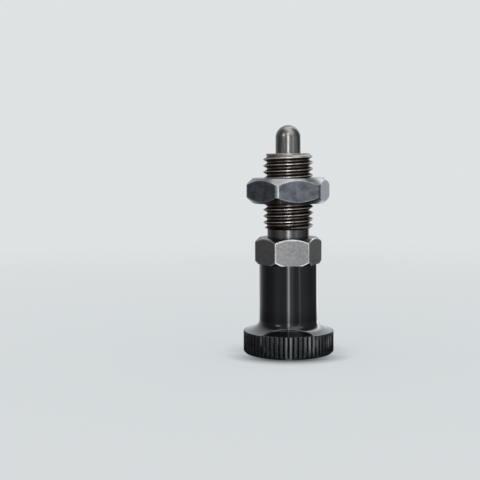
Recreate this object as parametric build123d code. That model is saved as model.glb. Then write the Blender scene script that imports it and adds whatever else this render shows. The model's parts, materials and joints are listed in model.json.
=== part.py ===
"""Indexing plunger with a pull knob and a lock nut, standing on the end of its knob.

A threaded guide body carries a spring-loaded locking pin. The knob is fixed on the pin's tail:
pulling it away from the hexagon collar draws the pin's domed tip back into the nose.
Millimetres. Z is the plunger's axis, +Z towards the pin's tip. The origin is the centre of the
knob's end face. Threads are plain cylinders at their major diameter.
"""

import os
from math import ceil, cos, radians, sin, tan

from build123d import *

# ---------------------------------------------------------------- driving dimensions
# Knob, from its end face at Z = 0
KNOB_LENGTH = 21.5
NECK_D = 14.0
RIM_D = 21.7
RIM_HEIGHT = 5.4
RIM_END_CHAMFER = 0.5
RIM_LAND = 0.08
FLARE_RISE = 2.6
FLARE_FOOT_RISE = 0.75
FLARE_RUNS = 7
SERRATIONS = 60
SERRATION_DEPTH = 0.32
SERRATION_ANGLE = 80.0
KNOB_FLOOR = 3.0
KNOB_MOUTH_CHAMFER = 0.3

# Hexagon collar
COLLAR_AF = 14.0
COLLAR_HEIGHT = 6.3
COLLAR_TURN = 7.2
COLLAR_CORNER_R = 0.3
COLLAR_SEAT_INSET = 0.1
COLLAR_SEAT_ANGLE = 40.0
COLLAR_REAR_OUTSET = 0.43
COLLAR_REAR_ANGLE = 50.0

# Threaded shank, from the collar's seat to the nose
THREAD_D = 12.0
THREAD_PITCH = 1.5
SHANK_LENGTH = 20.0
UNDERCUT_LENGTH = 2.0
UNDERCUT_BELOW_ROOT = 0.08
THREAD_END_ANGLE = 30.0
BORE_LEAD_IN = 0.5

# Spigot behind the collar, which the knob slides on
SPIGOT_D = 10.0
SPIGOT_LENGTH = 10.0
SPIGOT_CHAMFER = 0.4
REAR_WALL = 2.5

# Locking pin
PIN_D = 6.0
PIN_REACH = 6.7
SHOULDER_CHAMFER = 0.25
TAIL_CHAMFER = 0.4

# Compression spring, as fitted
WIRE_D = 0.7
SPRING_LENGTH = 15.5
ACTIVE_COILS = 9.0
END_COILS = 1.0
END_COIL_GAP = 0.04
COIL_STEPS = 12
WIRE_SIDES = 6

# Lock nut
NUT_AF = 18.0
NUT_HEIGHT = 6.0
NUT_SETBACK = 5.8
NUT_TURN = 15.2
NUT_CORNER_R = 1.0
NUT_FACE_INSET = 0.55
NUT_FACE_ANGLE = 41.0
NUT_COUNTERSINK = 0.45

# Clearances, on the radius or along the axis
PIN_CLEARANCE = 0.02
STEM_CLEARANCE = 0.05
SPRING_GAP = 0.16
SPRING_END_GAP = 0.02
SPIGOT_CLEARANCE = 0.25
SPIGOT_END_GAP = 0.5
TAIL_END_GAP = 0.5
NUT_CLEARANCE = 0.05

# ---------------------------------------------------------------- sizes worked out from them
THREAD_DEPTH = 0.6134 * THREAD_PITCH
THREAD_R = THREAD_D / 2
UNDERCUT_R = THREAD_R - THREAD_DEPTH - UNDERCUT_BELOW_ROOT
THREAD_END_RISE = (THREAD_R - UNDERCUT_R) * tan(radians(THREAD_END_ANGLE))
PIN_R = PIN_D / 2
BORE_R = PIN_R + PIN_CLEARANCE
COIL_OUTER_R = BORE_R - SPRING_GAP
COIL_MEAN_R = COIL_OUTER_R - WIRE_D / 2
STEM_R = COIL_OUTER_R - WIRE_D - SPRING_GAP
SPIGOT_R = SPIGOT_D / 2
NECK_BORE_R = SPIGOT_R + SPIGOT_CLEARANCE

COLLAR_REAR_Z = KNOB_LENGTH
COLLAR_SEAT_Z = COLLAR_REAR_Z + COLLAR_HEIGHT
THREAD_START_Z = COLLAR_SEAT_Z + UNDERCUT_LENGTH
NOSE_Z = COLLAR_SEAT_Z + SHANK_LENGTH
TIP_Z = NOSE_Z + PIN_REACH
SPIGOT_END_Z = COLLAR_REAR_Z - SPIGOT_LENGTH
CHAMBER_FLOOR_Z = SPIGOT_END_Z + REAR_WALL
SHOULDER_Z = CHAMBER_FLOOR_Z + SPRING_LENGTH
NECK_FLOOR_Z = SPIGOT_END_Z - SPIGOT_END_GAP
TAIL_END_Z = KNOB_FLOOR + TAIL_END_GAP
NUT_TOP_Z = NOSE_Z - NUT_SETBACK
NUT_BOTTOM_Z = NUT_TOP_Z - NUT_HEIGHT


# ---------------------------------------------------------------- helpers
def turned(*outline):
    """Revolve a closed outline, drawn as (radius, height), about the plunger's axis."""
    edges = [edge for line in outline for edge in line.edges()]
    return revolve(Plane.XZ * make_face(edges), Axis.Z)


def bored(radius, z_from, z_to):
    """A plain round cutter on the axis."""
    return Pos(0, 0, z_from) * extrude(Circle(radius), z_to - z_from)


def hexagon(across_flats, corner_r, z_from, z_to, turn):
    """A hexagonal prism with rounded corners, one flat facing -Y and then turned about the axis."""
    outline = RegularPolygon(across_flats / 2, 6, major_radius=False, rotation=turn)
    outline = fillet(outline.vertices(), corner_r)
    return Pos(0, 0, z_from) * extrude(outline, z_to - z_from)


def corner_cone(across_flats, face_r, z_face, z_far, angle):
    """The turned envelope that rounds a hexagon's corners at the end that lies at z_face.

    face_r is the circle where the cone meets the end face, and angle its slope from that face.
    """
    outer_r = across_flats / 2 / cos(radians(30)) + 1
    drop = (outer_r - face_r) * tan(radians(angle))
    z_edge = z_face - drop if z_far < z_face else z_face + drop
    outline = Polyline(
        (0, z_face), (face_r, z_face), (outer_r, z_edge), (outer_r, z_far), (0, z_far), close=True
    )
    return turned(outline)


# ---------------------------------------------------------------- pieces
def make_guide_body():
    """Shank, hexagon collar and rear spigot, turned and milled from one bar."""
    shank = turned(
        Polyline(
            (0, SPIGOT_END_Z),
            (SPIGOT_R - SPIGOT_CHAMFER, SPIGOT_END_Z),
            (SPIGOT_R, SPIGOT_END_Z + SPIGOT_CHAMFER),
            (SPIGOT_R, COLLAR_REAR_Z + COLLAR_HEIGHT / 2),
            (UNDERCUT_R, COLLAR_REAR_Z + COLLAR_HEIGHT / 2),
            (UNDERCUT_R, THREAD_START_Z),
            (THREAD_R, THREAD_START_Z + THREAD_END_RISE),
            (THREAD_R, NOSE_Z - THREAD_DEPTH),
            (THREAD_R - THREAD_DEPTH, NOSE_Z),
            (0, NOSE_Z),
            close=True,
        )
    )
    collar = hexagon(COLLAR_AF, COLLAR_CORNER_R, COLLAR_REAR_Z, COLLAR_SEAT_Z, COLLAR_TURN)
    seat_r = COLLAR_AF / 2 - COLLAR_SEAT_INSET
    rear_r = COLLAR_AF / 2 + COLLAR_REAR_OUTSET
    collar &= corner_cone(COLLAR_AF, seat_r, COLLAR_SEAT_Z, COLLAR_REAR_Z, COLLAR_SEAT_ANGLE)
    collar &= corner_cone(COLLAR_AF, rear_r, COLLAR_REAR_Z, COLLAR_SEAT_Z, COLLAR_REAR_ANGLE)
    bore = turned(
        Polyline(
            (0, CHAMBER_FLOOR_Z),
            (BORE_R, CHAMBER_FLOOR_Z),
            (BORE_R, NOSE_Z - BORE_LEAD_IN),
            (BORE_R + BORE_LEAD_IN, NOSE_Z),
            (BORE_R + BORE_LEAD_IN, NOSE_Z + 1),
            (0, NOSE_Z + 1),
            close=True,
        )
    )
    stem_hole = bored(STEM_R + STEM_CLEARANCE, SPIGOT_END_Z - 1, CHAMBER_FLOOR_Z + 1)
    return shank + collar - bore - stem_hole


def make_locking_pin():
    """Domed pin, its shoulder for the spring, and the thinner stem that ends in the knob."""
    side = Polyline(
        (0, TAIL_END_Z),
        (STEM_R - TAIL_CHAMFER, TAIL_END_Z),
        (STEM_R, TAIL_END_Z + TAIL_CHAMFER),
        (STEM_R, SHOULDER_Z),
        (PIN_R - SHOULDER_CHAMFER, SHOULDER_Z),
        (PIN_R, SHOULDER_Z + SHOULDER_CHAMFER),
        (PIN_R, TIP_Z - PIN_R),
    )
    dome = CenterArc((0, TIP_Z - PIN_R), PIN_R, 0, 90)
    axis = Line((0, TIP_Z), (0, TAIL_END_Z))
    return turned(side, dome, axis)


def make_spring():
    """Compression spring with a closed, ground coil at each end.

    The wire is a polygon inside its round section and runs straight between COIL_STEPS points a turn.
    """
    length = SPRING_LENGTH - 2 * SPRING_END_GAP
    bottom = CHAMBER_FLOOR_Z + SPRING_END_GAP
    end_pitch = WIRE_D + END_COIL_GAP
    active_pitch = (length - 2 * END_COILS * end_pitch) / ACTIVE_COILS
    turns = ACTIVE_COILS + 2 * END_COILS
    steps = ceil(turns * COIL_STEPS)

    def point(turn):
        open_turns = min(max(turn - END_COILS, 0), ACTIVE_COILS)
        z = bottom + open_turns * active_pitch + (turn - open_turns) * end_pitch
        angle = radians(360 * turn)
        return COIL_MEAN_R * cos(angle), COIL_MEAN_R * sin(angle), z

    path = Polyline(*[point(turns * step / steps) for step in range(steps + 1)])
    section = Plane(path @ 0, z_dir=path % 0) * RegularPolygon(WIRE_D / 2, WIRE_SIDES)
    wire = sweep(section, path, transition=Transition.RIGHT)
    ground = bored(COIL_OUTER_R + 1, bottom, bottom + length)
    return wire & ground


def make_knob():
    """Pull knob: a plain neck that flares into a serrated rim, bored out for the spigot.

    The flare leaves the neck along its side, and meets the rim on a line that would reach the neck
    FLARE_FOOT_RISE above the rim. It is turned as FLARE_RUNS cones, 0.03 mm from the true curve at
    most. The rim is a prism with one side for each crest, and each groove takes away a corner of it.
    """
    neck_r, rim_r = NECK_D / 2, RIM_D / 2
    flare_start = (neck_r, RIM_HEIGHT + FLARE_RISE)
    flare_foot = (rim_r - SERRATION_DEPTH - RIM_LAND, RIM_HEIGHT)
    curve = Bezier(flare_start, (neck_r, RIM_HEIGHT + FLARE_FOOT_RISE), flare_foot)
    flare = Polyline(*[curve @ (run / FLARE_RUNS) for run in range(FLARE_RUNS + 1)])
    neck = turned(
        flare,
        Polyline(
            flare_foot,
            (flare_foot[0], RIM_HEIGHT / 2),
            (0, RIM_HEIGHT / 2),
            (0, KNOB_LENGTH),
            (neck_r, KNOB_LENGTH),
            flare_start,
        ),
    )

    side = RegularPolygon(rim_r, SERRATIONS, major_radius=False)
    end = RegularPolygon(rim_r - RIM_END_CHAMFER, SERRATIONS, major_radius=False)
    rim = Pos(0, 0, RIM_END_CHAMFER) * extrude(side, RIM_HEIGHT - RIM_END_CHAMFER)
    rim += extrude(end, RIM_END_CHAMFER, taper=-45)

    half_width = (SERRATION_DEPTH + 1) * tan(radians(SERRATION_ANGLE / 2))
    groove_outline = Polyline(
        (rim_r - SERRATION_DEPTH, 0), (rim_r + 1, half_width), (rim_r + 1, -half_width), close=True
    )
    groove = Pos(0, 0, -1) * extrude(make_face(groove_outline.edges()), RIM_HEIGHT + 2)
    grooves = [Rot(0, 0, 360 * index / SERRATIONS) * groove for index in range(SERRATIONS)]

    bore = turned(
        Polyline(
            (0, KNOB_FLOOR),
            (STEM_R, KNOB_FLOOR),
            (STEM_R, NECK_FLOOR_Z),
            (NECK_BORE_R, NECK_FLOOR_Z),
            (NECK_BORE_R, KNOB_LENGTH - KNOB_MOUTH_CHAMFER),
            (NECK_BORE_R + KNOB_MOUTH_CHAMFER, KNOB_LENGTH),
            (NECK_BORE_R + KNOB_MOUTH_CHAMFER, KNOB_LENGTH + 1),
            (0, KNOB_LENGTH + 1),
            close=True,
        )
    )
    return rim - grooves + neck - bore


def make_lock_nut():
    """Thin hexagon nut, chamfered on both faces, with a countersink at each end of its bore."""
    nut = hexagon(NUT_AF, NUT_CORNER_R, NUT_BOTTOM_Z, NUT_TOP_Z, NUT_TURN)
    face_r = NUT_AF / 2 - NUT_FACE_INSET
    nut &= corner_cone(NUT_AF, face_r, NUT_TOP_Z, NUT_BOTTOM_Z, NUT_FACE_ANGLE)
    nut &= corner_cone(NUT_AF, face_r, NUT_BOTTOM_Z, NUT_TOP_Z, NUT_FACE_ANGLE)
    bore_r = THREAD_R + NUT_CLEARANCE
    bore = turned(
        Polyline(
            (0, NUT_BOTTOM_Z),
            (bore_r + NUT_COUNTERSINK, NUT_BOTTOM_Z),
            (bore_r, NUT_BOTTOM_Z + NUT_COUNTERSINK),
            (bore_r, NUT_TOP_Z - NUT_COUNTERSINK),
            (bore_r + NUT_COUNTERSINK, NUT_TOP_Z),
            (0, NUT_TOP_Z),
            close=True,
        )
    )
    return nut - bore


PIECES = {
    "guide_body": make_guide_body,
    "locking_pin": make_locking_pin,
    "spring": make_spring,
    "knob": make_knob,
    "lock_nut": make_lock_nut,
}

os.makedirs("parts", exist_ok=True)
for name, make in PIECES.items():
    piece = make()
    export_step(piece, f"parts/{name}.step")
    print(f"{name}: {len(piece.solids())} solid, {piece.volume:.1f} mm3")

coil_bound = (ACTIVE_COILS + 2 * END_COILS) * WIRE_D
print(f"spring: {SPRING_LENGTH:.1f} long as fitted, {SPRING_LENGTH - PIN_REACH:.1f} at full pull, "
      f"{coil_bound:.1f} coil-bound")
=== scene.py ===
# %% [markdown]
# # An indexing plunger, from turned bar to finished render
#
# An indexing plunger locks one machine part to another. Its domed pin drops into a hole, and a
# pull on the serrated knob draws the pin back against a spring. This one stands on its knob.
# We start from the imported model, which fixes every size, and model each of its five pieces again
# with its thread, its broken edges and its finish. Each new piece takes the plain one's place.

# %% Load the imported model
import json
from math import atan2, ceil, cos, degrees, pi, radians, sin, sqrt, tan

import bpy
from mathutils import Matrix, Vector


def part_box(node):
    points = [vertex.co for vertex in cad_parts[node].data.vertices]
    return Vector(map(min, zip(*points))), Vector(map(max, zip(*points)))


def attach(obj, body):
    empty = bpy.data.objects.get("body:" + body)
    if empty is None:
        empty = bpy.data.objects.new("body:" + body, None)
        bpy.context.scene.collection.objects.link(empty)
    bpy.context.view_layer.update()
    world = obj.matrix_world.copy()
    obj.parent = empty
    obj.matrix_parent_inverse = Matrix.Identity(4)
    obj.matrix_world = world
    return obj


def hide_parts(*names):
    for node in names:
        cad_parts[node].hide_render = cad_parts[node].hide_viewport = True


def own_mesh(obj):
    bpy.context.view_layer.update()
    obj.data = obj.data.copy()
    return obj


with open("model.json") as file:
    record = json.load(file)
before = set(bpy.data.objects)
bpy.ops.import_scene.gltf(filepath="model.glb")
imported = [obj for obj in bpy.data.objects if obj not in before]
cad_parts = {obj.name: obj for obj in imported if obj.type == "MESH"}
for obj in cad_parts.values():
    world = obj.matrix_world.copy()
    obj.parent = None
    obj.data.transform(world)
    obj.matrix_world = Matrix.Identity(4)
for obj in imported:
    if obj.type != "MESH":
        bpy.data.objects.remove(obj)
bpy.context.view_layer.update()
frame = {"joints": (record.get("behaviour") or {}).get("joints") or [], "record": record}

# %% [markdown]
# ## Sizes
#
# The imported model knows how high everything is, so the heights are read from it. What it can't
# tell is written here once, in millimetres: radii, hexagon sizes and the thread. A size that only
# one piece needs stands in that piece's own cell.

# %% Heights, read in millimetres
def heights(node):
    """How low and how high a node reaches, in millimetres."""
    low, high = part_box(node)
    print(f"{node}: from {low.z * 1000:.2f} to {high.z * 1000:.2f} mm")
    return round(low.z * 1000, 3), round(high.z * 1000, 3)


KNOB_LOW, NECK_TOP = heights("knob")
SPIGOT_LOW, NOSE = heights("guide_body")
TAIL, TIP = heights("locking_pin")
SPRING_LOW, SPRING_HIGH = heights("spring")
NUT_LOW, NUT_HIGH = heights("lock_nut")
seat_mount = next(mount for mount in frame["record"]["mounts"] if mount["name"] == "collar_seat")
SEAT = round(seat_mount["pos_m"][2] * 1000, 3)
print(f"collar: from {NECK_TOP} to {SEAT} mm")

# %% Radii, hexagons and the thread
PIN_R = 3.0
STEM_R = 2.0
BORE_R = 3.02
CREST_R = 6.0
ROOT_R = 5.08
UNDERCUT_R = 5.0
UNDERCUT_TOP = SEAT + 2.0
NECK_R = 7.0
RIM_R = 10.85
PITCH = 1.5
CREST_Z = 0.65  # height of a crest on the +X side, less whole turns

# A flat is turned away from -Y by "turn" degrees. An end cone starts at a radius on the end face
# and falls away from that face at an angle in degrees.
COLLAR = {
    "across": 14, "low": NECK_TOP, "high": SEAT, "turn": 7.2, "corner_r": 0.3,
    "low_cone": (7.43, 50), "high_cone": (6.9, 40),
}
NUT = {
    "across": 18, "low": NUT_LOW, "high": NUT_HIGH, "turn": 15.2, "corner_r": 1.0,
    "low_cone": (8.45, 41), "high_cone": (8.45, 41),
}
print(f"M{2 * CREST_R:.0f} x {PITCH} thread, hexagons {COLLAR['across']} and {NUT['across']} mm across")

# %% [markdown]
# ## Working in millimetres
#
# The scene is in metres, but a turner thinks in millimetres and so do Blender's mesh tools, whose
# snapping distances suit sizes near 1. Each piece is therefore modelled with one unit to the
# millimetre, and shrunk a thousand times once, when it is finished.

# %% Helpers for starting, picking and mending a piece
SAME_PLACE = 0.0005  # points nearer to each other than this are one point


def alone(piece=None):
    """Deselect everything and make one piece the active one."""
    if bpy.context.object and bpy.context.object.mode != "OBJECT":
        bpy.ops.object.mode_set(mode="OBJECT")
    bpy.ops.object.select_all(action="DESELECT")
    if piece:
        piece.select_set(True)
        bpy.context.view_layer.objects.active = piece


def named(name):
    """Give the object that an operator has just made its name."""
    piece = bpy.context.object
    piece.name = piece.data.name = name
    return piece


def pick(piece, point=None, edge=None):
    """Go into edit mode with the points or edges that a test says yes to selected, and no others."""
    alone(piece)
    bpy.ops.object.mode_set(mode="EDIT")
    bpy.ops.mesh.select_mode(type="VERT" if point else "EDGE")
    bpy.ops.mesh.select_all(action="DESELECT")
    bpy.ops.object.mode_set(mode="OBJECT")
    mesh = piece.data
    if point:
        for vertex in mesh.vertices:
            vertex.select = point(vertex.co)
    else:
        for line in mesh.edges:
            line.select = edge(*(mesh.vertices[index].co for index in line.vertices))
    bpy.ops.object.mode_set(mode="EDIT")


def weld(piece):
    """Merge points that lie on each other and turn every face outwards."""
    alone(piece)
    bpy.ops.object.mode_set(mode="EDIT")
    bpy.ops.mesh.select_all(action="SELECT")
    bpy.ops.mesh.remove_doubles(threshold=SAME_PLACE)
    bpy.ops.mesh.normals_make_consistent(inside=False)
    bpy.ops.object.mode_set(mode="OBJECT")
    return piece


def capped(piece):
    """Close every open end with a face."""
    alone(piece)
    bpy.ops.object.mode_set(mode="EDIT")
    bpy.ops.mesh.select_all(action="SELECT")
    bpy.ops.mesh.fill_holes(sides=0)
    return weld(piece)


# %% [markdown]
# ## The lathe
#
# Most of this plunger is turned. A cylinder could be extruded and scaled step by step, but a
# turner reads a section, so we draw one: half of the piece, as corners of (radius, height), spun
# once round the axis. The pen is a plane whose four corners are merged into one, which is then
# extruded from corner to corner.

# %% Draw a section, then spin it
def drawn(name, corners):
    """Draw a line through corners of (radius, height) in the XZ plane."""
    alone()
    bpy.ops.mesh.primitive_plane_add(size=1)
    piece = named(name)
    bpy.ops.object.mode_set(mode="EDIT")
    bpy.ops.mesh.select_mode(type="VERT")
    bpy.ops.mesh.merge(type="CENTER")
    bpy.ops.transform.translate(value=(corners[0][0], 0, corners[0][1]))
    for (r, z), (next_r, next_z) in zip(corners, corners[1:]):
        step = (next_r - r, 0, next_z - z)
        bpy.ops.mesh.extrude_region_move(TRANSFORM_OT_translate={"value": step})
    bpy.ops.object.mode_set(mode="OBJECT")
    return piece


def turned(name, corners, steps=128):
    """Spin a drawn section once round the axis into a closed solid."""
    piece = drawn(name, corners)
    bpy.ops.object.mode_set(mode="EDIT")
    bpy.ops.mesh.select_all(action="SELECT")
    bpy.ops.mesh.spin(steps=steps, angle=2 * pi, center=(0, 0, 0), axis=(0, 0, 1))
    return weld(piece)


# %% [markdown]
# ## The thread cutter
#
# A metric thread is a ridge with 60 degrees between its flanks, wound at 1.5 mm a turn. A stack of
# rings would look right from afar, but its ends give it away, so the Screw modifier winds a true
# one. A Boolean against a turned blank then gives the tapered start and end that a die leaves.
# The same winding, a little larger, cuts the nut.

# %% Wind a section, and combine two solids
def wound(name, section, pitch, turns, steps):
    """Wind a closed section up the axis, its two ends left open."""
    piece = drawn(name, section + section[:1])
    weld(piece)
    winding = piece.modifiers.new("winding", "SCREW")
    winding.angle = 2 * pi
    winding.screw_offset = pitch
    winding.iterations = turns
    winding.steps = winding.render_steps = steps
    bpy.ops.object.modifier_apply(modifier=winding.name)
    return piece


def combined(piece, tool, operation):
    """Join two solids, or cut one with the other, and use the tool up."""
    alone(piece)
    cut = piece.modifiers.new(operation.lower(), "BOOLEAN")
    cut.operation = operation
    cut.solver = "EXACT"
    cut.object = tool
    bpy.ops.object.modifier_apply(modifier=cut.name)
    bpy.data.objects.remove(tool)
    print(f"{piece.name} after {operation}: {len(piece.data.vertices)} points")
    return weld(piece)


# %% Wind a thread's ridge
THREAD_STEPS = 72
FLANK_ANGLE = radians(30)
EASE_R, EASE_Z = 0.035, 0.02  # how far a crest's corner is eased, inwards and along the axis


def thread_ridge(name, crest_r, crest_half, inner_r, low, high):
    """The wound ridge alone, from below low to above high."""
    inner_half = crest_half + (crest_r - inner_r) * tan(FLANK_ANGLE)
    first = CREST_Z + PITCH * (ceil((low - CREST_Z) / PITCH) - 2)
    half = [(inner_r, inner_half), (crest_r - EASE_R, crest_half + EASE_Z), (crest_r, crest_half - EASE_Z)]
    section = [(r, first - z) for r, z in half] + [(r, first + z) for r, z in reversed(half)]
    turns = ceil((high - first) / PITCH) + 1
    return capped(wound(name, section, PITCH, turns, THREAD_STEPS))


# %% [markdown]
# ## Broken edges
#
# No real edge is perfectly sharp. A narrow Bevel modifier breaks the edges, which gives the light
# something to catch on, and weighted normals keep the flats flat beside it. The bevel comes before
# a thread or a bore is cut, because the slivers that such a cut leaves would choke it. Where the
# bar is only turned, a small chamfer drawn in its section does the same.

# %% Break the edges, and shade the rest
def edge_broken(piece, width, angle=28):
    """Break the edges that are sharper than an angle."""
    alone(piece)
    edge_break = piece.modifiers.new("edge_break", "BEVEL")
    edge_break.width = width
    edge_break.segments = 2
    edge_break.limit_method = "ANGLE"
    edge_break.angle_limit = radians(angle)
    bpy.ops.object.modifier_apply(modifier=edge_break.name)
    return piece


def shaded(piece):
    """Smooth shading across gentle edges, with the flats kept flat."""
    alone(piece)
    bpy.ops.object.shade_smooth_by_angle(angle=radians(40))
    weighting = piece.modifiers.new("weighting", "WEIGHTED_NORMAL")
    weighting.keep_sharp = True
    bpy.ops.object.modifier_apply(modifier=weighting.name)
    return piece


# %% [markdown]
# ## Hexagons with rounded corners
#
# Hexagon bar has rounded corners, and turning then cuts a cone across each end, which leaves the
# curved tops on the flats. Those arcs could be drawn one by one, but they come out right by
# themselves if we do as the lathe does: bevel the six long edges of a six-sided cylinder, then
# keep only what lies inside a turned blank with both cones. The many small faces that this leaves
# on each flat are dissolved into one, so that the edges can be broken afterwards.

# %% Mill a hexagon
def cone_drop(cone, outer_r):
    """How far along the axis a hexagon's end cone falls from its face to outer_r."""
    face_r, angle = cone
    return (outer_r - face_r) * tan(radians(angle))


def hexagon(name, sizes):
    """A hexagon bar whose flats face -Y + turn degrees, coned at both ends, its edges broken."""
    low, high = sizes["low"], sizes["high"]
    low_cone, high_cone = sizes["low_cone"], sizes["high_cone"]
    corner_r = sizes["across"] / sqrt(3)
    outer_r = corner_r + 1
    blank = turned(f"{name}_blank", [
        (0, low), (low_cone[0], low), (outer_r, low + cone_drop(low_cone, outer_r)),
        (outer_r, high - cone_drop(high_cone, outer_r)), (high_cone[0], high), (0, high),
    ])
    alone()
    bpy.ops.mesh.primitive_cylinder_add(
        vertices=6, radius=corner_r, depth=high - low,
        location=(0, 0, (low + high) / 2), rotation=(0, 0, radians(30 + sizes["turn"])),
    )
    piece = named(name)
    bpy.ops.object.transform_apply(location=True, rotation=True, scale=True)
    pick(piece, edge=lambda a, b: abs(a.z - b.z) > 1)
    bpy.ops.mesh.bevel(
        offset=sizes["corner_r"] * tan(radians(30)), segments=8, affect="EDGES", clamp_overlap=True
    )
    bpy.ops.object.mode_set(mode="OBJECT")
    piece = combined(piece, blank, "INTERSECT")
    alone(piece)
    bpy.ops.object.mode_set(mode="EDIT")
    bpy.ops.mesh.select_all(action="SELECT")
    bpy.ops.mesh.dissolve_limited(angle_limit=radians(1))
    bpy.ops.object.mode_set(mode="OBJECT")
    print(f"{name}: {len(piece.data.polygons)} faces")
    return edge_broken(piece, width=0.06, angle=25)


# %% [markdown]
# ## Putting a piece in its place
#
# A finished piece is shrunk to metres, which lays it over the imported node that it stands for. The
# node is hidden, and the piece rides on the same body, so that it moves as the real one does.
# Measuring it against the node's box shows at once whether a size has slipped.

# %% Mount a piece
def mounted(piece, node, body, material):
    """Shrink a finished piece to metres, give it its finish and hang it on its body."""
    alone(piece)
    piece.scale = (0.001, 0.001, 0.001)
    bpy.ops.object.transform_apply(location=True, rotation=True, scale=True)
    piece.data.materials.clear()
    piece.data.materials.append(material)
    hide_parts(node)
    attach(piece, body)
    low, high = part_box(node)
    places = [point.co for point in piece.data.vertices]
    beyond = max(
        max(low[i] - min(place[i] for place in places), max(place[i] for place in places) - high[i])
        for i in range(3)
    )
    print(f"{piece.name}: {len(places)} points, {beyond * 1000:+.3f} mm beyond its solid at most")


# %% [markdown]
# ## Shader sums
#
# Wear, dirt and grain are sums of distances and noise. In the node editor such a sum is a hedge of
# Math nodes that nobody can read. Here one small class stands for a node's output and adds a Math
# node whenever Python adds or multiplies it, so that a sum reads like a sum.

# %% A wire that can be added and multiplied
class Wire:
    """A node's output in one finish, which Python's operators feed into new Math nodes."""

    def __init__(self, finish, socket):
        self.finish = finish
        self.socket = socket

    def maths(self, operation, first, second=0.0, clamp=False):
        """Add a Math node."""
        settings = {"operation": operation, "use_clamp": clamp}
        return self.finish.node("ShaderNodeMath", settings, {0: first, 1: second})

    def __add__(self, other):
        return self.maths("ADD", self, other)

    def __radd__(self, other):
        return self.maths("ADD", other, self)

    def __sub__(self, other):
        return self.maths("SUBTRACT", self, other)

    def __rsub__(self, other):
        return self.maths("SUBTRACT", other, self)

    def __mul__(self, other):
        return self.maths("MULTIPLY", self, other)

    def __rmul__(self, other):
        return self.maths("MULTIPLY", other, self)

    def __truediv__(self, other):
        return self.maths("DIVIDE", self, other)

    def __abs__(self):
        return self.maths("ABSOLUTE", self)

    def clamped(self):
        """Cut off below 0 and above 1."""
        return self.maths("ADD", self, 0.0, clamp=True)

    def at_least(self, other):
        """The larger of the two."""
        return self.maths("MAXIMUM", self, other)

    def angle_from(self, other):
        """The angle whose sine goes with this wire and whose cosine goes with the other."""
        return self.maths("ARCTAN2", self, other)

    def rising(self, start, width):
        """0 up to start, then up to 1 over a width."""
        return ((self - start) / width).clamped()

    def falling(self, start, width):
        """1 up to start, then down to 0 over a width."""
        return (1 - (self - start) / width).clamped()


# %% A finish, built one node at a time
class Finish:
    """The nodes of a new material or world. A colour is written as (red, green, blue)."""

    def __init__(self, owner):
        owner.use_nodes = True
        self.owner = owner
        self.tree = owner.node_tree
        self.tree.nodes.clear()

    def node(self, kind, settings=None, inputs=None, output=0):
        """Add a node: its settings first, then the values or wires of its sockets."""
        node = self.tree.nodes.new(kind)
        for key, value in (settings or {}).items():
            if key == "stops":
                ramp = node.color_ramp
                while len(ramp.elements) < len(value):
                    ramp.elements.new(0.5)
                for element, (position, colour) in zip(ramp.elements, value):
                    element.position = position
                    element.color = (*colour, 1)
            else:
                setattr(node, key, value)
        for key, value in (inputs or {}).items():
            socket = node.inputs[key]
            if isinstance(value, Wire):
                self.tree.links.new(value.socket, socket)
            elif socket.type == "RGBA":
                socket.default_value = (*value, 1)
            else:
                socket.default_value = value
        return Wire(self, node.outputs[output]) if len(node.outputs) else None

    def place(self, turn=0.0):
        """Object coordinates in millimetres, turned so that a flat faces -Y."""
        coordinates = self.node("ShaderNodeTexCoord", output="Object")
        return self.node(
            "ShaderNodeMapping", {"vector_type": "POINT"},
            {"Vector": coordinates, "Rotation": (0, 0, radians(-turn)), "Scale": (1000, 1000, 1000)},
        )

    def parts(self, vector):
        """The x, y and z of a vector."""
        split = self.node("ShaderNodeSeparateXYZ", None, {0: vector}).socket.node
        return [Wire(self, output) for output in split.outputs]

    def distance(self, x, y, z=0.0):
        """How far (x, y, z) is from the middle of its coordinates."""
        vector = self.node("ShaderNodeCombineXYZ", None, {0: x, 1: y, 2: z})
        return self.node("ShaderNodeVectorMath", {"operation": "LENGTH"}, {0: vector}, output="Value")

    def noise(self, vector, size, detail=3.0, roughness=0.5, stretch=None):
        """Noise from 0 to 1, with blotches of about size millimetres."""
        if stretch:
            vector = self.node("ShaderNodeVectorMath", {"operation": "MULTIPLY"}, {0: vector, 1: stretch})
        return self.node(
            "ShaderNodeTexNoise", {"noise_dimensions": "3D"},
            {"Vector": vector, "Scale": 1 / size, "Detail": detail, "Roughness": roughness},
        )

    def mix(self, factor, first, second):
        """A colour that goes from first to second as the factor rises."""
        return self.node(
            "ShaderNodeMix", {"data_type": "RGBA"}, {0: factor, 6: first, 7: second}, output=2
        )

    def bump(self, height, strength, distance):
        """A normal that is tilted as if the surface rose by distance, in metres."""
        relief = {"Height": height, "Strength": strength, "Distance": distance}
        return self.node("ShaderNodeBump", None, relief)

    def surface(self, **inputs):
        """The shader itself and the output, which end every finish."""
        named_inputs = {key.replace("_", " "): value for key, value in inputs.items()}
        shader = self.node("ShaderNodeBsdfPrincipled", None, named_inputs)
        self.node("ShaderNodeOutputMaterial", None, {"Surface": shader})
        return self.owner


def new_finish(name):
    """The empty finish of a new material."""
    return Finish(bpy.data.materials.new(name))


# %% [markdown]
# ## Black-oxide steel, worn at its edges
#
# Blackened steel stays a metal: dark grey, satin, and faintly grained by the sand and acid that it
# was prepared with. Handling rubs the oxide off the edges first. Wear could be painted on, or read
# from the mesh's pointiness, but the one needs an unwrapped mesh and the other a dense, even one.
# So we ask where two of the hexagon's surfaces are both near, and these distances are plain sums
# of the object coordinates.

# %% Where a hexagon is worn, and which of its surfaces are flats
WEAR_REACH = 0.26  # how far from an edge the oxide is thin
FLAT_REACH = 0.08  # how near a surface has to be to count as the one we stand on


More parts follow.
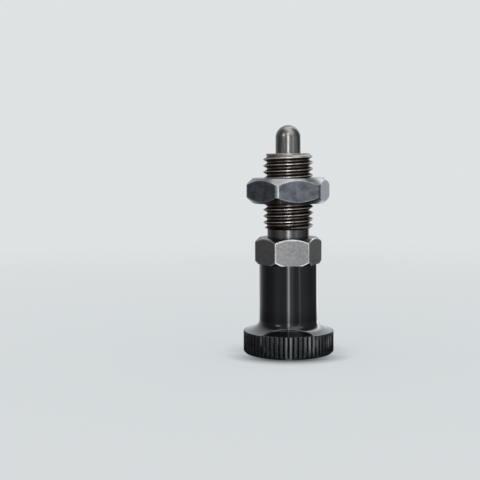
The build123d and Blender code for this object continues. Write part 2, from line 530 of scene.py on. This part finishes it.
def hexagon_masks(finish, place, sizes):
    """Wear along the arcs and at the corners, each up to 1, and a mask of the six flats."""
    x, y, z = finish.parts(place)
    r = finish.distance(x, y)
    flats = [sizes["across"] / 2 - abs(x * cos(radians(a)) + y * sin(radians(a))) for a in (30, 90, 150)]
    ends = ((sizes["low_cone"], z - sizes["low"]), (sizes["high_cone"], sizes["high"] - z))
    cones = [
        (face_r - r) * sin(radians(angle)) + height * cos(radians(angle))
        for (face_r, angle), height in ends
    ]
    arcs = sum(abs(depth).falling(0, WEAR_REACH) for depth in flats + cones) - 1
    corner_start = sizes["across"] / sqrt(3) - 0.33 * sizes["corner_r"]
    corners = r.rising(corner_start, 0.13 * sizes["corner_r"])
    on_flat = sum(abs(depth).falling(0, FLAT_REACH) for depth in flats) * 4
    return arcs.clamped(), corners, on_flat.clamped()


# %% Where the thread is, and how deep in it
def thread_masks(finish, place):
    """1 on the thread but not on its end chamfer, and the depth below the crests."""
    x, y, z = finish.parts(place)
    depth = CREST_R - finish.distance(x, y)
    within = depth.rising(-0.15, 0.02) * z.rising(UNDERCUT_TOP, 0.25)
    return within * (NOSE - z - depth).rising(0, 0.125), depth


# %% [markdown]
# ## Mixing the two blackened steels
#
# The guide body and the nut came out of the same bath, but the nut's flats are bluer and cloudier
# and the collar's are sandier, so one function mixes both. The colour starts from the oxide, then
# follows what was done to the surface: turned parts are smooth and dark, the flanks and the root of
# the thread are brown, the nose face is paler, and worn edges show the steel. The left-hand corners
# are paler still, which is a painted highlight. An oxide film sends less light back at a glancing
# angle than bare metal does, which is what the tint below 1 is for.

# %% Black oxide
FLANK_BROWN = (0.15, 0.122, 0.107)
ROOT_BROWN = (0.19, 0.155, 0.132)
NOSE_GREY = (0.37, 0.355, 0.345)


def blackened_steel(name, dark, smooth, pale, sizes, mottle, grain, rubbed, glancing):
    """Black oxide, sandy on the flats, smooth where it was turned, pale on worn edges."""
    finish = new_finish(name)
    place = finish.place(sizes["turn"])
    x, _, z = finish.parts(place)
    arcs, corners, on_flat = hexagon_masks(finish, place, sizes)
    thread, depth = thread_masks(finish, place)
    turned_part = (1 - on_flat) * (1 - thread)
    nose_part = z.rising(NOSE - 1, 0.125) * turned_part

    cloud = finish.noise(place, 1.6, 4, 0.6)
    sand = finish.noise(place, 0.34, 2, 0.7)
    swirl = finish.noise(place, 0.6, 2, 0.6, stretch=(0.4, 0.4, 9))
    shade = ((cloud - 0.5) * mottle + (sand - 0.5) * grain * on_flat + 0.5).clamped()
    base = finish.mix(shade, [0.6 * part for part in dark], [1.4 * part for part in dark])
    base = finish.mix(turned_part * 0.8, base, smooth)
    base = finish.mix(depth.rising(0, 0.3) * thread, base, FLANK_BROWN)
    base = finish.mix(depth.rising(0.8, 0.1) * thread, base, ROOT_BROWN)
    base = finish.mix(nose_part * 0.85, base, NOSE_GREY)

    ragged = ((sand + cloud - 0.6) * 2.6).clamped()
    crest = depth.falling(0.04, 0.08) * thread * 0.8
    # The corners are worn all round; that the left-hand ones are paler still is a painted highlight.
    wear_and_left_sheen = ((3 - x) * 0.3).clamped() * 0.8 + 0.2
    worn = (arcs * rubbed).at_least(corners * wear_and_left_sheen).at_least(crest) * ragged
    colour = finish.mix(worn.clamped(), base, pale)
    rough = 0.22 + 0.17 * on_flat + 0.1 * (cloud - 0.5) + 0.08 * thread + 0.2 * nose_part
    relief = sand * on_flat + swirl * 0.5 * (1 - on_flat)
    fine = finish.bump(relief, 0.6, 0.00002)
    return finish.surface(
        Base_Color=colour, Metallic=1.0, Roughness=rough, Normal=fine, Specular_Tint=[glancing] * 3
    )


body_steel = blackened_steel(
    "body_steel", dark=(0.25, 0.24, 0.235), smooth=(0.128, 0.125, 0.125), pale=(0.74, 0.7, 0.66),
    sizes=COLLAR, mottle=0.5, grain=1.7, rubbed=1.5, glancing=0.5,
)
nut_steel = blackened_steel(
    "nut_steel", dark=(0.185, 0.193, 0.214), smooth=(0.225, 0.22, 0.212), pale=(0.52, 0.515, 0.52),
    sizes=NUT, mottle=2.4, grain=0.5, rubbed=0.55, glancing=0.7,
)
print("two blackened steels:", body_steel.name, nut_steel.name)

# %% [markdown]
# ## Ground steel
#
# The pin's bar was drawn lengthwise before it was ground round, and both left fine lines. Noise
# squeezed along the axis gives the rings of the grinding, and noise pulled out along it the
# streaks of the drawing. The dome was polished last, so the streaks stop where it starts.

# %% The pin's finish
def ground_steel():
    """Dark ground steel with lengthwise streaks, plain on the dome."""
    finish = new_finish("pin_steel")
    place = finish.place()
    cloud = finish.noise(place, 1.4, 3)
    rings = finish.noise(place, 0.5, 2, 0.6, stretch=(0.5, 0.5, 12))
    streaks = finish.noise(place, 0.4, 3, 0.7, stretch=(1, 1, 0.07))
    _, _, z = finish.parts(place)
    dome = ((z - TIP + PIN_R) * 0.7).clamped()
    shade = (cloud * 0.4 + (streaks * 2.2 - 1) * (1 - dome) + 0.2 - 0.15 * dome).clamped()
    colour = finish.mix(shade, (0.17, 0.16, 0.155), (0.36, 0.345, 0.33))
    rough = 0.17 + 0.1 * cloud + 0.12 * dome
    fine = finish.bump(rings + streaks * (1 - dome), 0.3, 0.000006)
    return finish.surface(
        Base_Color=colour, Metallic=1.0, Roughness=rough, Normal=fine, Specular_Tint=(0.6, 0.6, 0.6)
    )


pin_steel = ground_steel()
print("ground steel:", pin_steel.name)

# %% [markdown]
# ## Spring wire
#
# Spring wire is drawn bright and stays clean inside the body. Nobody sees it unless the plunger is
# taken apart, so a bright metal with a faint cloud in its colour and gloss is enough.

# %% The spring's finish
def spring_wire():
    """Bright drawn wire."""
    finish = new_finish("spring_wire")
    cloud = finish.noise(finish.place(), 0.8, 2)
    colour = finish.mix(cloud, (0.42, 0.42, 0.43), (0.55, 0.55, 0.56))
    return finish.surface(Base_Color=colour, Metallic=1.0, Roughness=0.22 + 0.1 * cloud)


wire_steel = spring_wire()
print("spring wire:", wire_steel.name)

# %% [markdown]
# ## Polished black
#
# The knob is nearly black and so glossy that its colour hardly counts: what shows is the room in
# it. A plain gloss would look like glass, so the surface gets a faint peel and lengthwise lines, a
# few specks of dust, and a satin, metallic scuff where fingers rub the lands between the grooves.

# %% The knob's finish
def gloss_black():
    """Polished black, rubbed through to a satin metal on the lands between the grooves."""
    finish = new_finish("gloss_black")
    place = finish.place()
    x, y, _ = finish.parts(place)
    cloud = finish.noise(place, 3.0, 4, 0.6)
    peel = finish.noise(place, 0.9, 2)
    drawn_lines = finish.noise(place, 0.5, 3, 0.6, stretch=(1, 1, 0.1))
    land = ((finish.distance(x, y) - (RIM_R - 0.03)) * 60).clamped()
    scuffed = land * (0.55 + 0.9 * cloud).clamped()
    dust = ((finish.noise(place, 0.3, 1) - 0.74) * 12).clamped() * 0.5
    base = finish.mix(cloud, (0.0025, 0.0035, 0.0045), (0.005, 0.006, 0.0075))
    base = finish.mix(dust, base, (0.16, 0.165, 0.17))
    colour = finish.mix(scuffed, base, (0.14, 0.14, 0.145))
    rough = 0.04 + 0.05 * drawn_lines + 0.22 * scuffed
    fine = finish.bump(peel + drawn_lines * 0.6, 0.16, 0.00001)
    return finish.surface(Base_Color=colour, Metallic=scuffed, Roughness=rough, Normal=fine)


knob_black = gloss_black()
print("polished black:", knob_black.name)

# %% [markdown]
# ## Guide body
#
# One bar makes the shank, the collar and the spigot behind it. On the lathe all of it comes from
# one hexagon bar. Here the round parts are one spin, and the milled collar and the wound thread
# are joined to it, because each is easiest to make by itself. The bore is cut last, through all.

# %% Cut the thread
CLEAR = 0.05  # how far a blank or a hole stays off the surface beside it
RIDGE_R = 5.97  # a real crest stays a little under the nominal size
RIDGE_SUNK = 0.15  # how deep the ridge's foot is sunk into the bar that it is joined to
THREAD_DEPTH = CREST_R - ROOT_R
RUN_OUT = (CREST_R + CLEAR - UNDERCUT_R) * tan(FLANK_ANGLE)
RIDGE_TOP = NOSE - 0.02
thread_blank = turned("thread_blank", [
    (0, UNDERCUT_TOP), (UNDERCUT_R, UNDERCUT_TOP), (CREST_R + CLEAR, UNDERCUT_TOP + RUN_OUT),
    (CREST_R + CLEAR, NOSE - THREAD_DEPTH - CLEAR), (ROOT_R - CLEAR, RIDGE_TOP), (0, RIDGE_TOP),
])
ridge = thread_ridge("ridge", RIDGE_R, PITCH / 16, ROOT_R - RIDGE_SUNK, UNDERCUT_TOP, NOSE)
ridge = combined(ridge, thread_blank, "INTERSECT")

# %% Join the collar and the thread to the turned bar
SPIGOT_CHAMFER = 0.4
NOSE_BREAK = 0.04
ROOT_LOW = UNDERCUT_TOP + 0.05
guide = turned("guide_body_visual", [
    (0, SPIGOT_LOW), (UNDERCUT_R - SPIGOT_CHAMFER, SPIGOT_LOW), (UNDERCUT_R, SPIGOT_LOW + SPIGOT_CHAMFER),
    (UNDERCUT_R, UNDERCUT_TOP), (ROOT_R, ROOT_LOW),
    (ROOT_R, NOSE - NOSE_BREAK), (ROOT_R - NOSE_BREAK, NOSE), (0, NOSE),
])
guide = combined(guide, hexagon("collar", COLLAR), "UNION")
guide = combined(guide, ridge, "UNION")

# %% Bore it, and put it in its place
REAR_WALL = 2.5
MOUTH_CHAMFER = 0.35
OVERRUN = 0.5  # how far the bore's chamfer runs on past the nose
STEM_HOLE_R = STEM_R + CLEAR
CHAMBER_LOW = SPIGOT_LOW + REAR_WALL
bore = turned("bore", [
    (0, SPIGOT_LOW - 1), (STEM_HOLE_R, SPIGOT_LOW - 1), (STEM_HOLE_R, CHAMBER_LOW),
    (BORE_R, CHAMBER_LOW), (BORE_R, NOSE - MOUTH_CHAMFER),
    (BORE_R + MOUTH_CHAMFER + OVERRUN, NOSE + OVERRUN), (0, NOSE + OVERRUN),
])
guide = combined(guide, bore, "DIFFERENCE")
shaded(guide)
mounted(guide, "guide_body", "guide", body_steel)

# %% [markdown]
# ## Lock nut
#
# The thin nut clamps the plunger in its plate. It is a wider hexagon with the same cone on both
# faces, and its thread could be faked with dark rings, but from above one looks straight into it.
# So a tap is made like the shank: a turned core with a countersink at each end, and a ridge wound
# in step with the shank's, a little larger all round. The tap is then cut out of the nut.

# %% Model the lock nut
TAP_DRILL_R = 5.19
TAP_CREST_HALF = 0.134
TAP_RIDGE_R = CREST_R + 0.05
TAP_SUNK = 0.14
COUNTERSINK_R = 6.5
COUNTERSINK = COUNTERSINK_R - TAP_DRILL_R
nut = hexagon("lock_nut_visual", NUT)
tap = turned("tap", [
    (0, NUT_LOW - 1), (COUNTERSINK_R + 1, NUT_LOW - 1), (TAP_DRILL_R, NUT_LOW + COUNTERSINK),
    (TAP_DRILL_R, NUT_HIGH - COUNTERSINK), (COUNTERSINK_R + 1, NUT_HIGH + 1), (0, NUT_HIGH + 1),
])
tap_ridge = thread_ridge(
    "tap_ridge", TAP_RIDGE_R, TAP_CREST_HALF, TAP_DRILL_R - TAP_SUNK, NUT_LOW - 0.6, NUT_HIGH + 0.4
)
tap = combined(tap, tap_ridge, "UNION")
nut = combined(nut, tap, "DIFFERENCE")
shaded(nut)
mounted(nut, "lock_nut", "nut", nut_steel)

# %% [markdown]
# ## Locking pin
#
# A ground pin with a full dome, a shoulder that the spring pushes on, and a thin stem that ends in
# the knob. A sphere could be put on a cylinder, but it is all one turning, so one section with a
# quarter circle at its top makes it in a single spin, with no joint to hide.

# %% Turn the pin
SHOULDER = SPRING_HIGH + 0.02
TAIL_CHAMFER = 0.4
SHOULDER_CHAMFER = 0.25
dome = [
    (PIN_R * cos(radians(a)), TIP - PIN_R + PIN_R * sin(radians(a))) for a in range(0, 90, 6)
]
pin = turned("locking_pin_visual", [
    (0, TAIL), (STEM_R - TAIL_CHAMFER, TAIL), (STEM_R, TAIL + TAIL_CHAMFER), (STEM_R, SHOULDER),
    (PIN_R - SHOULDER_CHAMFER, SHOULDER), (PIN_R, SHOULDER + SHOULDER_CHAMFER), *dome, (0, TIP),
], steps=96)
shaded(edge_broken(pin, width=0.03))
mounted(pin, "locking_pin", "plunger", pin_steel)

# %% [markdown]
# ## Spring
#
# Nine open coils of round wire, with one closed coil at each end that is ground flat. A helix
# curve with a bevel would do for one pitch, but a real spring has two, so three stretches are
# wound one on top of the other, welded, and sawn off square with bisect.

# %% Wind the spring
COIL_R = 2.51
WIRE_R = 0.35
COIL_STEPS = 36
END_PITCH = 0.74
OPEN_COILS = 9
OPEN_PITCH = (SPRING_HIGH - SPRING_LOW - 2 * END_PITCH) / OPEN_COILS


def coils(name, start, pitch, turns):
    """Round wire wound at one pitch, left open at both ends."""
    section = [
        (COIL_R + WIRE_R * cos(radians(a)), start + WIRE_R * sin(radians(a))) for a in range(0, 360, 30)
    ]
    return wound(name, section, pitch, turns, COIL_STEPS)


spring = coils("spring_visual", SPRING_LOW, END_PITCH, 1)
middle = coils("middle_coils", SPRING_LOW + END_PITCH, OPEN_PITCH, OPEN_COILS)
upper = coils("upper_coil", SPRING_HIGH - END_PITCH, END_PITCH, 1)
alone(spring)
middle.select_set(True)
upper.select_set(True)
bpy.ops.object.join()
weld(spring)

# %% Grind its ends flat
for height, below in ((SPRING_LOW, True), (SPRING_HIGH, False)):
    pick(spring, point=lambda place: True)
    bpy.ops.mesh.bisect(
        plane_co=(0, 0, height), plane_no=(0, 0, 1), use_fill=True, clear_inner=below, clear_outer=not below
    )
    bpy.ops.object.mode_set(mode="OBJECT")
capped(spring)
bpy.ops.object.shade_smooth_by_angle(angle=radians(50))
mounted(spring, "spring", "guide", wire_steel)

# %% [markdown]
# ## How much a pull shortens the spring
#
# A pull on the knob squeezes the spring against the body's rear wall. The joint knows how far the
# pull goes, and one division gives the share of its length that the pulled spring keeps. The spring
# is given a mesh of its own.

# %% How much of the spring's length a pull leaves
pull = next(joint for joint in frame["joints"] if joint["name"] == "knob_pull")
FREE = SPRING_HIGH - SPRING_LOW
KEPT = (FREE - pull["range_m"][1] * 1000) / FREE
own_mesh(spring)
print(f"the pulled spring keeps {KEPT:.2f} of its length")

# %% [markdown]
# ## Knob
#
# A plain neck flares into a rim with sixty grooves. The grooves could be cut with sixty Boolean
# tools, but a spin with a column of points every degree and a half has them ready: every fourth
# column is pulled in towards the axis, and becomes a groove.

# %% Turn the knob
def curve(start, corner, end, steps):
    """Points of a curve that leaves start towards the corner and comes from it to end, start left out."""
    return [
        tuple((1 - t) ** 2 * a + 2 * t * (1 - t) * b + t * t * c for a, b, c in zip(start, corner, end))
        for t in (step / steps for step in range(1, steps + 1))
    ]


RIM_TOP = 5.4
GROOVE_R = 10.53
GROOVES = 60
FOOT_R = GROOVE_R - 0.08  # where the flare meets the rim's top, just inside the grooves
FOOT_CHAMFER = 0.5
RIM_BREAK = 0.12
NECK_BORE_R = 5.25
NECK_CHAMFER = 0.3
POCKET_LOW = SPIGOT_LOW - 0.5  # the spigot stops just short of the pocket's floor
TAIL_HOLE_LOW = TAIL - 0.5
flare = curve((FOOT_R, RIM_TOP), (NECK_R, RIM_TOP + 0.75), (NECK_R, RIM_TOP + 2.6), 16)
knob = turned("knob_visual", [
    (0, KNOB_LOW), (RIM_R - FOOT_CHAMFER, KNOB_LOW), (RIM_R, KNOB_LOW + FOOT_CHAMFER),
    (RIM_R, RIM_TOP - RIM_BREAK), (RIM_R - RIM_BREAK, RIM_TOP), (FOOT_R, RIM_TOP), *flare,
    (NECK_R, NECK_TOP), (NECK_BORE_R + NECK_CHAMFER, NECK_TOP), (NECK_BORE_R, NECK_TOP - NECK_CHAMFER),
    (NECK_BORE_R, POCKET_LOW), (STEM_R, POCKET_LOW), (STEM_R, TAIL_HOLE_LOW), (0, TAIL_HOLE_LOW),
], steps=4 * GROOVES)

# %% Cut its grooves
def in_a_groove(place):
    """True on every fourth column of the rim's outside."""
    spacing = 360 / GROOVES
    angle = degrees(atan2(place.y, place.x)) % spacing
    on_rim = place.xy.length > FOOT_R + 0.1 and place.z < RIM_TOP + 0.1
    return on_rim and min(angle, spacing - angle) < 0.2


GROOVE_DEPTH = RIM_R - GROOVE_R
for height, radius, drop in (
    (KNOB_LOW + FOOT_CHAMFER, RIM_R, GROOVE_DEPTH),  # lowered too, which rakes the groove's end
    (RIM_TOP - RIM_BREAK, RIM_R, 0),
    (RIM_TOP, RIM_R - RIM_BREAK, 0),
):
    pick(knob, point=lambda place: in_a_groove(place) and abs(place.z - height) < 0.01)
    scale = GROOVE_R / radius
    bpy.ops.transform.resize(value=(scale, scale, 1), center_override=(0, 0, 0))
    bpy.ops.transform.translate(value=(0, 0, -drop))
    bpy.ops.object.mode_set(mode="OBJECT")
shaded(edge_broken(knob, width=0.05, angle=30))
mounted(knob, "knob", "plunger", knob_black)

# %% [markdown]
# ## Camera
#
# The plunger is small and is looked at from close by, so the camera stands a quarter of a metre
# away, with a longish lens, and looks down a little. It could be aimed by a Track To constraint,
# but a place in metres and three turns in degrees need no second object to aim at.

# %% Camera
EYE = (0, -0.2428, 0.0478)
LOOK_DOWN = 4.86
ROLL = 0.34
LOOK_LEFT = 2.707
alone()
bpy.ops.object.camera_add(
    location=EYE, rotation=(radians(90 - LOOK_DOWN), radians(ROLL), radians(LOOK_LEFT))
)
camera = bpy.context.object
camera.name = "camera"
camera.data.lens = 76.1
camera.data.sensor_width = 36
camera.data.clip_start = 0.01
bpy.context.scene.camera = camera
print(f"camera: {camera.data.lens:.1f} mm lens, at {EYE} m")

# %% [markdown]
# ## Softbox
#
# One lamp overhead lights the chamfers, the top of the nut and the rim. A small one would give hard
# shadows and pinpoint highlights, so this is a softbox, a third of a metre wide. What metal mirrors
# is how bright a lamp looks, so we say that, and work out its power from it.

# %% Softbox
LAMP_PLACE = Vector((0, 0.05, 0.45))
LAMP_AIM = Vector((0, 0, 0.03))
LAMP_SIDE = 0.34
LAMP_RADIANCE = 1.5
alone()
bpy.ops.object.light_add(type="AREA", location=LAMP_PLACE)
lamp = bpy.context.object
lamp.name = "overhead"
lamp.rotation_euler = (LAMP_AIM - LAMP_PLACE).to_track_quat("-Z", "Y").to_euler()
lamp.data.shape = "RECTANGLE"
lamp.data.size = lamp.data.size_y = LAMP_SIDE
lamp.data.energy = pi * LAMP_SIDE * LAMP_SIDE * LAMP_RADIANCE
lamp.visible_camera = False
print(f"{lamp.name}: {lamp.data.energy:.2f} W")

# %% [markdown]
# ## The room that the metal sees
#
# Dark metal is mostly a picture of what stands round it, so the room matters as much as the metal.
# Real walls and cards could be built, but what a mirror shows is only a question of direction, so
# the room is one ramp over the compass. 0 is straight ahead of the plunger, where the camera
# stands, with the narrow bright strip that draws the line down its middle. The sides are dim,
# and the half turn each way ends at the pale wall behind. Two round panes higher up show in
# the dome and the cones, and the room is brighter above the wall. The camera sees only the wall.

# %% Compass
WALL = (0.74, 0.76, 0.77)
COOL = (0.95, 1, 1.04)  # the tint of what is seen in the room
BRIGHTEST = 8  # a ramp ends at 1, so it holds brightness over this
COMPASS = (
    (-180, 0.78), (-155, 0.78), (-135, 0.58), (-120, 0.3), (-105, 0.17), (-90, 0.11), (-65, 0.17),
    (-41, 0.46), (-22, 0.34), (-8, 0.45), (-3, 2), (-1.5, 6), (3.5, 6), (5, 2), (9, 0.95), (15, 0.9),
    (24, 0.42), (38, 0.38), (42, 1.1), (45, 1.1), (49, 0.5), (62, 0.42), (76, 0.33), (92, 0.19),
    (110, 0.15), (124, 0.1), (136, 0.16), (143, 0.95), (150, 3.4), (163, 1.1), (180, 0.78),
)
PANES = (  # direction, how wide, how bright
    ((0.36, -0.5, 0.78), 0.5, 1.9),
    ((-0.62, -0.66, 0.41), 0.22, 3.5),
)


def seen_light(finish, x, y):
    """What polished metal sees in a direction, over BRIGHTEST, by compass angle from the front."""
    turn = x.angle_from(0 - y) / (2 * pi) + 0.5
    stops = [
        ((angle + 180) / 360, [tint * value / BRIGHTEST for tint in COOL]) for angle, value in COMPASS
    ]
    return finish.node("ShaderNodeValToRGB", {"stops": stops}, {"Fac": turn})


# %% Room
def mirrored_room():
    """A world that is a pale wall to the camera, and the compass and the panes to reflections."""
    room = Finish(bpy.data.worlds.new("room"))
    east, north, up = room.parts(room.node("ShaderNodeTexCoord", output="Generated"))
    seen = seen_light(room, east, north)
    for (pane_east, pane_north, pane_up), spread, radiance in PANES:
        apart = room.distance(east - pane_east, north - pane_north, up - pane_up)
        pane = apart.falling(spread / 2, spread / 2)
        seen = room.mix(pane, seen, [tint * radiance / BRIGHTEST for tint in (0.96, 1, 1.03)])
    mirrored = room.node("ShaderNodeLightPath", output="Is Glossy Ray")
    behind = (north * 1.5).clamped() * (up * 3).clamped()
    strength = 1 + mirrored * (BRIGHTEST * (1 + 0.3 * behind) - 1)
    colour = room.mix(mirrored, WALL, seen)
    light = room.node("ShaderNodeBackground", None, {"Color": colour, "Strength": strength})
    room.node("ShaderNodeOutputWorld", None, {"Surface": light})
    return room.owner


bpy.context.scene.world = mirrored_room()
print(f"room: {len(COMPASS)} stops on the compass and {len(PANES)} panes")

# %% [markdown]
# ## Floor
#
# The floor is pale paper that runs on into the wall. Paper that is only lit goes grey towards its
# edge, so most of what the camera sees of it is an even glow. A glow takes no shadow, so a shadow is
# painted on it under the knob, dimmed where little open sky is left, and more so in front. In
# reflections the floor goes on with the compass, with painted shade near the foot and one painted
# spot of light that bounces up into the flare.

# %% Floor
FLOOR_R = 0.4
PAPER = (0.64, 0.677, 0.69)
# Where the painted spot of light lies on the floor, and how wide it is.
SPOT = (0.024, -0.02)
SPOT_R = 0.013


def paper():
    """Plain paper, glowing evenly to the camera but for a painted shadow, and mirroring the room to the
    metal.
    """
    finish = new_finish("paper")
    x, y, _ = finish.parts(finish.node("ShaderNodeTexCoord", output="Object"))
    reach = finish.distance(x, y)
    mirrored = finish.node("ShaderNodeLightPath", output="Is Glossy Ray")
    in_view = finish.node("ShaderNodeLightPath", output="Is Camera Ray")

    # A painted shadow under the knob: the glow is dimmed where little open sky is left, more so in front.
    open_sky = finish.node("ShaderNodeAmbientOcclusion", {"samples": 16}, {"Distance": 0.0065}, output="AO")
    front = (0 - y).rising(0.003, 0.007)
    painted_shadow = ((1 - open_sky) * 2.7).clamped() * (front * 0.8 + 0.2) * in_view
    # Painted shade on the floor near the foot, seen only in reflections.
    painted_foot_shade = reach.rising(0.02, 0.06) * 0.85 + 0.15
    # A painted spot of light on the floor, seen only in reflections, that bounces up into the flare.
    painted_bounce_light = finish.distance(x - SPOT[0], y - SPOT[1]).falling(0, SPOT_R)
    strength = 1 - painted_shadow * 0.9 + mirrored * (BRIGHTEST * (painted_foot_shade + painted_bounce_light * 5) - 1)

    in_the_distance = finish.mix(reach.rising(0, 0.3), PAPER, WALL)
    glow_colour = finish.mix(mirrored, in_the_distance, seen_light(finish, x, y))
    glow = finish.node("ShaderNodeEmission", None, {"Color": glow_colour, "Strength": strength})
    card = finish.node("ShaderNodeBsdfDiffuse", None, {"Color": WALL})
    glowing = (reach.rising(0.1, 0.1) * 0.18 + 0.82) * in_view + mirrored
    shown = finish.node("ShaderNodeMixShader", None, {0: glowing.clamped(), 1: card, 2: glow})
    finish.node("ShaderNodeOutputMaterial", None, {"Surface": shown})
    return finish.owner


alone()
bpy.ops.mesh.primitive_circle_add(vertices=96, radius=FLOOR_R, fill_type="TRIFAN")
floor = named("floor")
floor.data.materials.append(paper())
print(f"floor: a disc of {FLOOR_R} m radius")

# %% [markdown]
#
# The Standard view shows a colour as it is written.

# %% Show colours as written
bpy.context.scene.view_settings.view_transform = "Standard"
